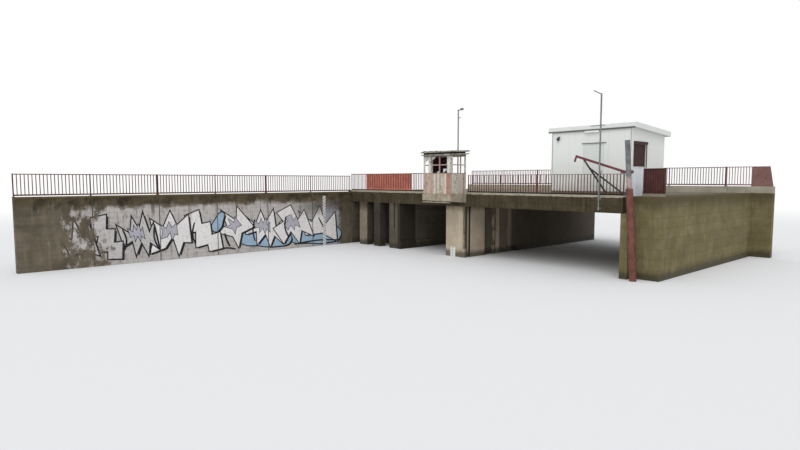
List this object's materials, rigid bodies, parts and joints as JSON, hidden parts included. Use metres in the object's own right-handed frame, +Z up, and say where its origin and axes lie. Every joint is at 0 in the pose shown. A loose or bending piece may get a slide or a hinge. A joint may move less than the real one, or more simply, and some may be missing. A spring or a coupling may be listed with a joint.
{
  "type": "sluice gate structure",
  "caption": "Concrete sluice structure with two waterways, a bridge deck, an operator's booth, a control house, railings, a hoist frame and a fenced bank wall.",
  "frame": {"origin": "centre of the central pier's foot, at the level where the walls meet water and ground", "axes": "+X along the deck to the right bank, +Y with the flow away from the front, +Z up"},
  "size_m": [24.71, 38.0998, 9.31],
  "materials": {
    "pier_concrete": "weathered board-marked concrete",
    "dark_concrete": "dark damp concrete",
    "mossy_concrete": "lichen-covered concrete",
    "painted_wall": "old concrete with faded spray paint",
    "fence_paint": "dull red-brown paint with rust",
    "panel_paint": "faded salmon paint",
    "booth_plaster": "peeling pale plaster",
    "booth_frames": "worn grey-pink paint",
    "house_render": "smooth off-white render",
    "house_roof": "pale trim with a dark eave line",
    "door_paint": "satin off-white paint",
    "shutter_paint": "satin dark brown",
    "cabinet_paint": "satin pale grey",
    "hoist_paint": "worn red-brown over grey primer",
    "black_steel": "dull black paint",
    "galvanised": "dull zinc",
    "gauge_enamel": "white enamel with black marks",
    "lamp_plastic": "dull pale plastic"
  },
  "bodies": {
    "structure": {"left_end_wall": "dark_concrete", "left_recess_wall": "dark_concrete", "left_rear_wall": "dark_concrete", "left_bay_wall": "pier_concrete", "left_pier": "pier_concrete", "outer_column": "pier_concrete", "inner_column": "dark_concrete", "central_pier": "pier_concrete", "right_abutment": "mossy_concrete", "deck_slab": "dark_concrete", "front_beam": "dark_concrete", "rear_beam": "dark_concrete", "bank_wall": "painted_wall", "bank_fence_1": "fence_paint", "bank_fence_2": "fence_paint", "bank_fence_3": "fence_paint", "front_kerb": "pier_concrete", "rear_kerb": "pier_concrete", "left_railing": "fence_paint", "ribbed_panel": "panel_paint", "right_railing_1": "fence_paint", "right_railing_2": "fence_paint", "rear_fence_1": "fence_paint", "rear_fence_2": "fence_paint", "rear_fence_3": "fence_paint", "rear_fence_4": "fence_paint", "side_fence": "fence_paint", "booth_floor": "booth_plaster", "booth_parapet": "booth_plaster", "booth_posts": "booth_plaster", "booth_window_bars": "booth_frames", "booth_sheets": "fence_paint", "booth_roof": "booth_plaster", "house_floor": "dark_concrete", "front_wall_left": "house_render", "front_wall_right": "house_render", "front_wall_top": "house_render", "house_left_wall": "house_render", "house_right_wall": "house_render", "house_rear_wall": "house_render", "house_roof": "house_roof", "door_frame": "door_paint", "side_shutter": "shutter_paint", "cabinet": "cabinet_paint", "hoist_post": "hoist_paint", "hoist_boom": "hoist_paint", "hoist_struts": "black_steel", "tall_mast": "galvanised", "camera_mast": "galvanised", "gauge_boards": "gauge_enamel", "dome_camera": "lamp_plastic", "eave_lamp": "lamp_plastic"},
    "door": {"house_door": "door_paint", "door_handle": "galvanised"}
  },
  "joints": [
    {"name": "door_hinge", "type": "hinge", "parent": "structure", "child": "door", "pos_m": [7.79, -6.604, 5.485], "axis": [0, 0, -1], "range_deg": [0, 100]}
  ]
}
